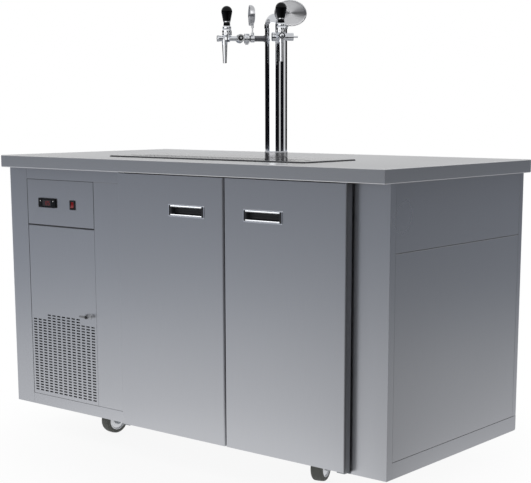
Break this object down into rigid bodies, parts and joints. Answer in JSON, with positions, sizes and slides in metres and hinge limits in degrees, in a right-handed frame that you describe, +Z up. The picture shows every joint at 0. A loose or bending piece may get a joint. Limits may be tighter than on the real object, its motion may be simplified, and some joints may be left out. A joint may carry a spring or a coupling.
{
  "type": "refrigerated drink dispensing counter",
  "caption": "Refrigerated counter on castors with hinged cold-room doors, a slotted machine bay, and a chrome tower of wine taps over a recessed drip tray.",
  "frame": {"origin": "on the floor below the middle of the worktop", "axes": "+X to the user's right along the counter, -Y towards the user, +Z up"},
  "size_m": [1.4, 0.71, 1.2655],
  "materials": {
    "cabinet_steel": "brushed",
    "worktop_steel": "brushed",
    "polished_steel": "polished",
    "chrome_plate": "polished",
    "galvanised_steel": "zinc plated",
    "board_core": "raw board",
    "liner": "satin",
    "black_plastic": "moulded, matt",
    "black_gloss": "moulded, gloss",
    "red_rocker": "translucent, gloss",
    "gasket_rubber": "matt",
    "tyre_rubber": "matt",
    "black_enamel": "enamel",
    "clear_hose": "translucent",
    "aluminium_fins": "mill",
    "grip_black": "moulded, gloss"
  },
  "bodies": {
    "cabinet": {"base_frame": "cabinet_steel", "front_frame": "cabinet_steel", "filler_panel": "cabinet_steel", "left_side_panel": "cabinet_steel", "right_side_panel": "cabinet_steel", "right_upper_panel": "cabinet_steel", "back_panel": "galvanised_steel", "cold_room_shell": "liner", "worktop": "worktop_steel", "worktop_core": "board_core", "drip_tray": "polished_steel", "tower_base": "chrome_plate", "tower_column": "chrome_plate", "tower_cap": "chrome_plate", "tap_shanks": "chrome_plate", "coupling_nuts": "chrome_plate", "tap_bodies": "chrome_plate", "tap_spouts": "chrome_plate", "tap_bonnets": "chrome_plate", "badge_clamps": "chrome_plate", "badge_plates": "polished_steel", "beverage_lines": "clear_hose", "control_panel": "cabinet_steel", "thermostat": "black_gloss", "switch_bezel": "black_gloss", "compressor": "black_enamel", "condenser": "aluminium_fins", "fan_shroud": "black_enamel", "evaporator_housing": "liner", "hinge_brackets": "galvanised_steel", "castor_plates": "galvanised_steel", "fasteners": "galvanised_steel"},
    "drip_grate": {"drip_grate": "polished_steel"},
    "left_door": {"left_door": "cabinet_steel", "left_gasket": "gasket_rubber", "left_pull": "chrome_plate"},
    "right_door": {"right_door": "cabinet_steel", "right_gasket": "gasket_rubber", "right_pull": "chrome_plate"},
    "grille_panel": {"grille_panel": "cabinet_steel"},
    "panel_lock": {"panel_lock": "chrome_plate"},
    "power_rocker": {"power_rocker": "red_rocker"},
    "upper_left_key": {"upper_left_key": "black_gloss"},
    "lower_left_key": {"lower_left_key": "black_gloss"},
    "upper_right_key": {"upper_right_key": "black_gloss"},
    "lower_right_key": {"lower_right_key": "black_gloss"},
    "condenser_fan": {"condenser_fan": "black_plastic"},
    "evaporator_fan": {"evaporator_fan": "black_plastic"},
    "left_lever": {"left_lever": "grip_black"},
    "right_lever": {"right_lever": "grip_black"},
    "left_compensator": {"left_compensator": "chrome_plate"},
    "right_compensator": {"right_compensator": "chrome_plate"},
    "front_left_fork": {"front_left_fork": "galvanised_steel"},
    "front_left_wheel": {"front_left_wheel": "tyre_rubber"},
    "front_right_fork": {"front_right_fork": "galvanised_steel"},
    "front_right_wheel": {"front_right_wheel": "tyre_rubber"},
    "rear_left_fork": {"rear_left_fork": "galvanised_steel"},
    "rear_left_wheel": {"rear_left_wheel": "tyre_rubber"},
    "rear_right_fork": {"rear_right_fork": "galvanised_steel"},
    "rear_right_wheel": {"rear_right_wheel": "tyre_rubber"}
  },
  "joints": [
    {"name": "left_door_hinge", "type": "hinge", "parent": "cabinet", "child": "left_door", "pos_m": [-0.19, -0.34145, 0.45], "axis": [0, 0, -1], "range_deg": [0, 110]},
    {"name": "right_door_hinge", "type": "hinge", "parent": "cabinet", "child": "right_door", "pos_m": [0.58, -0.34145, 0.45], "axis": [0, 0, 1], "range_deg": [0, 110]},
    {"name": "grille_panel_hinge", "type": "hinge", "parent": "cabinet", "child": "grille_panel", "pos_m": [-0.6149, -0.3213, 0.3775], "axis": [0, 0, -1], "range_deg": [0, 100]},
    {"name": "panel_lock_turn", "type": "hinge", "parent": "grille_panel", "child": "panel_lock", "pos_m": [-0.3566, -0.315, 0.382], "axis": [0, -1, 0], "range_deg": [0, 90]},
    {"name": "power_rocker_tilt", "type": "hinge", "parent": "cabinet", "child": "power_rocker", "pos_m": [-0.418, -0.323, 0.705], "axis": [1, 0, 0], "range_deg": [0, 20]},
    {"name": "drip_grate_lift", "type": "slide", "parent": "cabinet", "child": "drip_grate", "axis": [0, 0, 1], "range_m": [0, 0.06]},
    {"name": "upper_left_key_press", "type": "slide", "parent": "cabinet", "child": "upper_left_key", "axis": [0, 1, 0], "range_m": [0, 0.0008], "stiffness_N_per_m": 500},
    {"name": "lower_left_key_press", "type": "slide", "parent": "cabinet", "child": "lower_left_key", "axis": [0, 1, 0], "range_m": [0, 0.0008], "stiffness_N_per_m": 500},
    {"name": "upper_right_key_press", "type": "slide", "parent": "cabinet", "child": "upper_right_key", "axis": [0, 1, 0], "range_m": [0, 0.0008], "stiffness_N_per_m": 500},
    {"name": "lower_right_key_press", "type": "slide", "parent": "cabinet", "child": "lower_right_key", "axis": [0, 1, 0], "range_m": [0, 0.0008], "stiffness_N_per_m": 500},
    {"name": "left_lever_pull", "type": "hinge", "parent": "cabinet", "child": "left_lever", "pos_m": [0.06245, -0.18404, 1.1875], "axis": [0.7071, -0.7071, 0], "range_deg": [-12, 25]},
    {"name": "left_compensator_turn", "type": "hinge", "parent": "cabinet", "child": "left_compensator", "pos_m": [0.0872, -0.1593, 1.1685], "axis": [0.7071, -0.7071, 0], "range_deg": [0, 180]},
    {"name": "right_lever_pull", "type": "hinge", "parent": "cabinet", "child": "right_lever", "pos_m": [0.25055, -0.18404, 1.1875], "axis": [0.7071, 0.7071, 0], "range_deg": [-12, 25]},
    {"name": "right_compensator_turn", "type": "hinge", "parent": "cabinet", "child": "right_compensator", "pos_m": [0.2258, -0.1593, 1.1685], "axis": [0.7071, 0.7071, 0], "range_deg": [0, 180]},
    {"name": "condenser_fan_spin", "type": "hinge", "parent": "cabinet", "child": "condenser_fan", "pos_m": [-0.474, -0.207, 0.277], "axis": [0, 1, 0], "continuous": true},
    {"name": "evaporator_fan_spin", "type": "hinge", "parent": "cabinet", "child": "evaporator_fan", "pos_m": [-0.135, -0.0225, 0.567], "axis": [1, 0, 0], "continuous": true},
    {"name": "front_left_swivel", "type": "hinge", "parent": "cabinet", "child": "front_left_fork", "pos_m": [-0.405, -0.22, 0.1], "axis": [0, 0, 1], "continuous": true},
    {"name": "front_left_roll", "type": "hinge", "parent": "front_left_fork", "child": "front_left_wheel", "pos_m": [-0.40273, -0.1941, 0.04], "axis": [0.9962, -0.0872, 0], "continuous": true},
    {"name": "front_right_swivel", "type": "hinge", "parent": "cabinet", "child": "front_right_fork", "pos_m": [0.405, -0.22, 0.1], "axis": [0, 0, 1], "continuous": true},
    {"name": "front_right_roll", "type": "hinge", "parent": "front_right_fork", "child": "front_right_wheel", "pos_m": [0.3974, -0.19514, 0.04], "axis": [0.9563, 0.2924, 0], "continuous": true},
    {"name": "rear_left_swivel", "type": "hinge", "parent": "cabinet", "child": "rear_left_fork", "pos_m": [-0.405, 0.22, 0.1], "axis": [0, 0, 1], "continuous": true},
    {"name": "rear_left_roll", "type": "hinge", "parent": "rear_left_fork", "child": "rear_left_wheel", "pos_m": [-0.40862, 0.24575, 0.04], "axis": [0.9903, 0.1392, 0], "continuous": true},
    {"name": "rear_right_swivel", "type": "hinge", "parent": "cabinet", "child": "rear_right_fork", "pos_m": [0.405, 0.22, 0.1], "axis": [0, 0, 1], "continuous": true},
    {"name": "rear_right_roll", "type": "hinge", "parent": "rear_right_fork", "child": "rear_right_wheel", "pos_m": [0.40952, 0.2456, 0.04], "axis": [0.9848, -0.1736, 0], "continuous": true}
  ]
}
